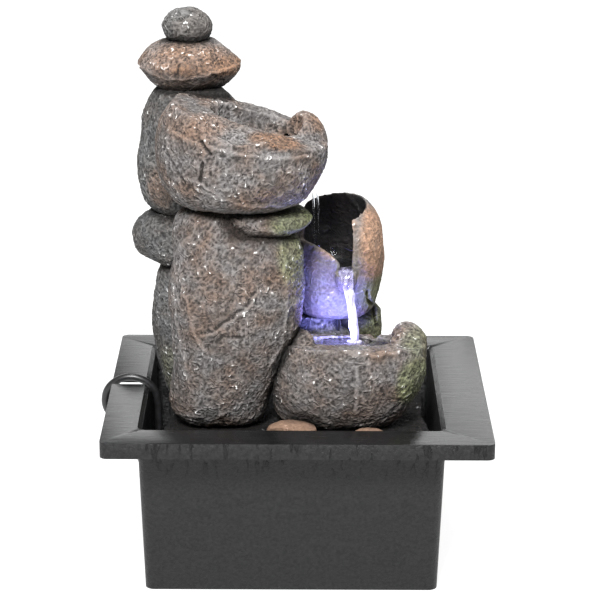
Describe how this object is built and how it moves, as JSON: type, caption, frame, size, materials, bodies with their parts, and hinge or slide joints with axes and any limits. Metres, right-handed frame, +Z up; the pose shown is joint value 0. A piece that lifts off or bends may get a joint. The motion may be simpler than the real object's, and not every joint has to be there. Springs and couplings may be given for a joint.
{
  "type": "tabletop water fountain",
  "caption": "Tabletop water fountain: stacked cast stones with three bowls over a black basin, with a submersible pump and lamps.",
  "frame": {"origin": "on the table, under the middle of the rim", "axes": "+Z up, +X to the right seen from the front, +Y to the back; the mains lead leaves on the left"},
  "size_m": [0.2118, 0.2438, 0.3],
  "materials": {
    "basin_plastic": "satin moulded black with a slate grain",
    "black_plastic": "moulded black",
    "grey_stone": "cast stone, dark washed and dry-brushed in pale grey",
    "brown_stone": "cast stone, brown washed, ochre on top and pale grey on the ridges",
    "ochre_stone": "cast stone, ochre washed with moss green low down",
    "ground_stone": "speckled dark cast stone",
    "tan_pebble": "smooth painted cast stone",
    "clear_hose": "translucent soft tube",
    "lamp_lens": "clear lens, violet light",
    "magnet": "dark ferrite and nylon",
    "sponge": "open-cell foam",
    "cord_rubber": "satin black sheath",
    "suction_rubber": "soft grey rubber",
    "bright_metal": "polished"
  },
  "bodies": {
    "basin": {"basin": "basin_plastic", "pump_housing": "black_plastic", "pump_chamber": "black_plastic", "rotor_shaft": "bright_metal", "suction_cups": "suction_rubber", "lamp_socket": "black_plastic", "cord_gland": "cord_rubber", "cord_run": "cord_rubber", "cord_coil": "cord_rubber", "cord_tail": "cord_rubber", "cord_tie": "black_plastic", "plug_body": "cord_rubber", "plug_pins": "bright_metal"},
    "rockery": {"rock_base": "ground_stone", "column_stone": "grey_stone", "ledge_stone": "grey_stone", "shoulder_stone": "grey_stone", "cap_stone": "brown_stone", "crown_stone": "grey_stone", "front_boulder": "brown_stone", "slab_stone": "brown_stone", "upper_bowl": "brown_stone", "back_column": "ochre_stone", "inner_stone": "grey_stone", "middle_bowl": "ochre_stone", "lower_bowl": "brown_stone", "water_hose": "clear_hose", "hose_outlet": "black_plastic", "lamp_middle": "black_plastic", "lamp_middle_lens": "lamp_lens", "lamp_lower": "black_plastic", "lamp_lower_lens": "lamp_lens", "lamp_leads": "cord_rubber", "lamp_plug": "black_plastic"},
    "rotor": {"pump_rotor": "magnet"},
    "strainer": {"intake_cover": "black_plastic", "filter_sponge": "sponge"},
    "regulator": {"flow_slider": "black_plastic"},
    "left_pebble": {"pebble_left": "tan_pebble"},
    "right_pebble": {"pebble_right": "tan_pebble"}
  },
  "joints": [
    {"name": "rockery_lift", "type": "slide", "parent": "basin", "child": "rockery", "axis": [0, 0, 1], "range_m": [0, 0.12]},
    {"name": "rotor_spin", "type": "hinge", "parent": "basin", "child": "rotor", "pos_m": [-0.034, -0.005, 0.026], "axis": [0, 1, 0], "continuous": true},
    {"name": "strainer_pull", "type": "slide", "parent": "basin", "child": "strainer", "axis": [0, -1, 0], "range_m": [0, 0.012]},
    {"name": "flow_slide", "type": "slide", "parent": "strainer", "child": "regulator", "axis": [0, 0, 1], "range_m": [0, 0.01]},
    {"name": "left_pebble_lift", "type": "slide", "parent": "rockery", "child": "left_pebble", "axis": [0, -0.5, 0.866], "range_m": [0, 0.06]},
    {"name": "right_pebble_lift", "type": "slide", "parent": "rockery", "child": "right_pebble", "axis": [0, -0.5, 0.866], "range_m": [0, 0.06]}
  ]
}
